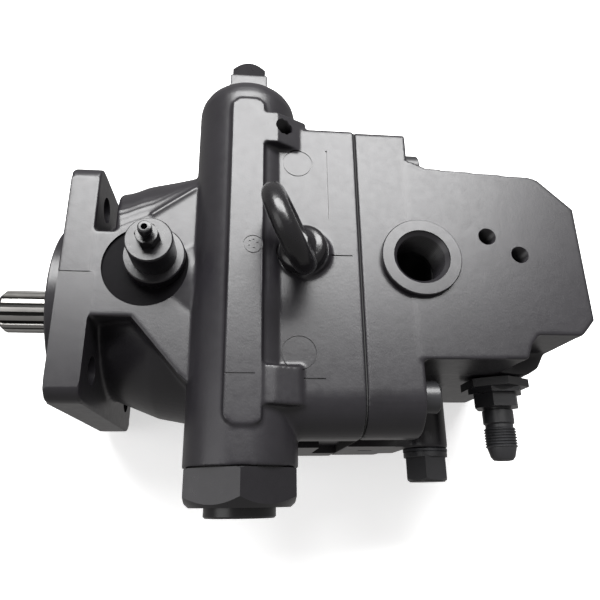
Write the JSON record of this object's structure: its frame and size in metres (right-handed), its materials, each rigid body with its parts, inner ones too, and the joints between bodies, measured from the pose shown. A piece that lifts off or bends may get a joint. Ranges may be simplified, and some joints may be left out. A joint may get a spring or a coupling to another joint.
{
  "type": "axial piston pump",
  "caption": "Variable swashplate piston pump: splined shaft, four-bolt flange, transverse servo cylinder with hex cap, lifting eye, bleed valve and ported rear cover.",
  "frame": {"origin": "on the shaft axis at the face of the mounting flange", "axes": "+X along the shaft from the drive end to the port cover, +Z to the side with the pressure port and lifting eye, +Y to the stop-screw end of the servo cylinder"},
  "size_m": [0.32, 0.257, 0.1909],
  "materials": {
    "painted_casting": "semi-gloss dark grey paint over sand-cast iron",
    "black_steel": "black oxide and overspray on steel",
    "seal_rubber": "moulded nitrile",
    "bronze": "machined bearing bronze",
    "spring_steel": "oil-tempered wire and stamped rings",
    "bare_shaft_steel": "bare machined steel",
    "ground_steel": "ground and hardened steel"
  },
  "bodies": {
    "housing": {"pump_housing": "painted_casting", "port_cover": "painted_casting", "cover_gasket": "seal_rubber", "cover_screws": "black_steel", "shaft_seal": "seal_rubber", "seal_retaining_ring": "spring_steel", "front_bearing_cup": "ground_steel", "rear_bearing_sleeve": "ground_steel", "cradle_bearing_upper": "bronze", "cradle_bearing_lower": "bronze", "valve_plate": "bronze", "port_dowel": "ground_steel", "servo_spring": "spring_steel", "servo_spring_seat": "ground_steel", "stroke_stop_screw": "painted_casting", "servo_cap": "painted_casting", "servo_cap_seal": "seal_rubber", "eye_bolt": "black_steel", "bleed_plug": "painted_casting", "pressure_adapter": "black_steel", "adapter_locknut": "black_steel", "adapter_seal": "seal_rubber", "gallery_plug": "black_steel", "gallery_plug_washer": "black_steel"},
    "rotor": {"drive_shaft": "bare_shaft_steel", "front_bearing_cone": "ground_steel", "cylinder_block": "ground_steel", "ball_guide": "ground_steel", "block_spring": "spring_steel", "spring_washers": "ground_steel", "block_retaining_ring": "spring_steel"},
    "front_roller_set": {"front_bearing_rollers": "ground_steel"},
    "rear_roller_set": {"rear_bearing_rollers": "ground_steel"},
    "swash": {"swashplate": "ground_steel", "swash_arm_pin": "ground_steel", "swash_arm_roller": "ground_steel"},
    "servo": {"servo_piston": "ground_steel"},
    "retainer": {"retainer_plate": "ground_steel"},
    "bleed_valve": {"bleed_screw": "black_steel"},
    "slipper_1": {"slipper_1": "bronze"},
    "piston_1": {"piston_1": "ground_steel"},
    "slipper_2": {"slipper_2": "bronze"},
    "piston_2": {"piston_2": "ground_steel"},
    "slipper_3": {"slipper_3": "bronze"},
    "piston_3": {"piston_3": "ground_steel"},
    "slipper_4": {"slipper_4": "bronze"},
    "piston_4": {"piston_4": "ground_steel"},
    "slipper_5": {"slipper_5": "bronze"},
    "piston_5": {"piston_5": "ground_steel"},
    "slipper_6": {"slipper_6": "bronze"},
    "piston_6": {"piston_6": "ground_steel"},
    "slipper_7": {"slipper_7": "bronze"},
    "piston_7": {"piston_7": "ground_steel"},
    "slipper_8": {"slipper_8": "bronze"},
    "piston_8": {"piston_8": "ground_steel"},
    "slipper_9": {"slipper_9": "bronze"},
    "piston_9": {"piston_9": "ground_steel"}
  },
  "joints": [
    {"name": "shaft_turn", "type": "hinge", "parent": "housing", "child": "rotor", "pos_m": [0, 0, 0], "axis": [1, 0, 0], "continuous": true},
    {"name": "swash_tilt", "type": "hinge", "parent": "housing", "child": "swash", "pos_m": [0.062, 0, 0], "axis": [0, 0, 1], "range_deg": [0, 15]},
    {"name": "servo_slide", "type": "slide", "parent": "housing", "child": "servo", "axis": [0, 1, 0], "range_m": [0, 0.00773], "deforming": ["servo_spring"]},
    {"name": "bleed_screw_turn", "type": "hinge", "parent": "housing", "child": "bleed_valve", "pos_m": [0.0465, 0.0084, 0.09], "axis": [0, 0, 1], "range_deg": [0, 270]},
    {"name": "retainer_turn", "type": "hinge", "parent": "swash", "child": "retainer", "pos_m": [0.062, 0, 0], "axis": [1, 0, 0], "continuous": true},
    {"name": "front_rollers_turn", "type": "hinge", "parent": "housing", "child": "front_roller_set", "pos_m": [0.022, 0, 0], "axis": [1, 0, 0], "continuous": true},
    {"name": "rear_rollers_turn", "type": "hinge", "parent": "housing", "child": "rear_roller_set", "pos_m": [0.162, 0, 0], "axis": [1, 0, 0], "continuous": true},
    {"name": "slipper_1_turn", "type": "hinge", "parent": "retainer", "child": "slipper_1", "pos_m": [0.062, 0, 0.03], "axis": [1, 0, 0], "continuous": true},
    {"name": "piston_1_swing", "type": "hinge", "parent": "slipper_1", "child": "piston_1", "pos_m": [0.062, 0, 0.03], "axis": [0, 0, 1], "range_deg": [-15, 0]},
    {"name": "slipper_2_turn", "type": "hinge", "parent": "retainer", "child": "slipper_2", "pos_m": [0.062, -0.01928, 0.02298], "axis": [1, 0, 0], "continuous": true},
    {"name": "piston_2_swing", "type": "hinge", "parent": "slipper_2", "child": "piston_2", "pos_m": [0.062, -0.01928, 0.02298], "axis": [0, 0, 1], "range_deg": [-15, 0]},
    {"name": "slipper_3_turn", "type": "hinge", "parent": "retainer", "child": "slipper_3", "pos_m": [0.062, -0.02954, 0.00521], "axis": [1, 0, 0], "continuous": true},
    {"name": "piston_3_swing", "type": "hinge", "parent": "slipper_3", "child": "piston_3", "pos_m": [0.062, -0.02954, 0.00521], "axis": [0, 0, 1], "range_deg": [-15, 0]},
    {"name": "slipper_4_turn", "type": "hinge", "parent": "retainer", "child": "slipper_4", "pos_m": [0.062, -0.02598, -0.015], "axis": [1, 0, 0], "continuous": true},
    {"name": "piston_4_swing", "type": "hinge", "parent": "slipper_4", "child": "piston_4", "pos_m": [0.062, -0.02598, -0.015], "axis": [0, 0, 1], "range_deg": [-15, 0]},
    {"name": "slipper_5_turn", "type": "hinge", "parent": "retainer", "child": "slipper_5", "pos_m": [0.062, -0.01026, -0.02819], "axis": [1, 0, 0], "continuous": true},
    {"name": "piston_5_swing", "type": "hinge", "parent": "slipper_5", "child": "piston_5", "pos_m": [0.062, -0.01026, -0.02819], "axis": [0, 0, 1], "range_deg": [-15, 0]},
    {"name": "slipper_6_turn", "type": "hinge", "parent": "retainer", "child": "slipper_6", "pos_m": [0.062, 0.01026, -0.02819], "axis": [1, 0, 0], "continuous": true},
    {"name": "piston_6_swing", "type": "hinge", "parent": "slipper_6", "child": "piston_6", "pos_m": [0.062, 0.01026, -0.02819], "axis": [0, 0, 1], "range_deg": [-15, 0]},
    {"name": "slipper_7_turn", "type": "hinge", "parent": "retainer", "child": "slipper_7", "pos_m": [0.062, 0.02598, -0.015], "axis": [1, 0, 0], "continuous": true},
    {"name": "piston_7_swing", "type": "hinge", "parent": "slipper_7", "child": "piston_7", "pos_m": [0.062, 0.02598, -0.015], "axis": [0, 0, 1], "range_deg": [-15, 0]},
    {"name": "slipper_8_turn", "type": "hinge", "parent": "retainer", "child": "slipper_8", "pos_m": [0.062, 0.02954, 0.00521], "axis": [1, 0, 0], "continuous": true},
    {"name": "piston_8_swing", "type": "hinge", "parent": "slipper_8", "child": "piston_8", "pos_m": [0.062, 0.02954, 0.00521], "axis": [0, 0, 1], "range_deg": [-15, 0]},
    {"name": "slipper_9_turn", "type": "hinge", "parent": "retainer", "child": "slipper_9", "pos_m": [0.062, 0.01928, 0.02298], "axis": [1, 0, 0], "continuous": true},
    {"name": "piston_9_swing", "type": "hinge", "parent": "slipper_9", "child": "piston_9", "pos_m": [0.062, 0.01928, 0.02298], "axis": [0, 0, 1], "range_deg": [-15, 0]}
  ],
  "couplings": [
    {"joint": "servo_slide", "follows": "swash_tilt", "m_per_rad": 0.0295},
    {"joint": "retainer_turn", "follows": "shaft_turn", "ratio": 1},
    {"joint": "front_rollers_turn", "follows": "shaft_turn", "ratio": 0.42},
    {"joint": "rear_rollers_turn", "follows": "shaft_turn", "ratio": 0.415},
    {"joint": "slipper_1_turn", "follows": "shaft_turn", "ratio": -1},
    {"joint": "piston_1_swing", "follows": "swash_tilt", "ratio": -1},
    {"joint": "slipper_2_turn", "follows": "shaft_turn", "ratio": -1},
    {"joint": "piston_2_swing", "follows": "swash_tilt", "ratio": -1},
    {"joint": "slipper_3_turn", "follows": "shaft_turn", "ratio": -1},
    {"joint": "piston_3_swing", "follows": "swash_tilt", "ratio": -1},
    {"joint": "slipper_4_turn", "follows": "shaft_turn", "ratio": -1},
    {"joint": "piston_4_swing", "follows": "swash_tilt", "ratio": -1},
    {"joint": "slipper_5_turn", "follows": "shaft_turn", "ratio": -1},
    {"joint": "piston_5_swing", "follows": "swash_tilt", "ratio": -1},
    {"joint": "slipper_6_turn", "follows": "shaft_turn", "ratio": -1},
    {"joint": "piston_6_swing", "follows": "swash_tilt", "ratio": -1},
    {"joint": "slipper_7_turn", "follows": "shaft_turn", "ratio": -1},
    {"joint": "piston_7_swing", "follows": "swash_tilt", "ratio": -1},
    {"joint": "slipper_8_turn", "follows": "shaft_turn", "ratio": -1},
    {"joint": "piston_8_swing", "follows": "swash_tilt", "ratio": -1},
    {"joint": "slipper_9_turn", "follows": "shaft_turn", "ratio": -1},
    {"joint": "piston_9_swing", "follows": "swash_tilt", "ratio": -1}
  ]
}
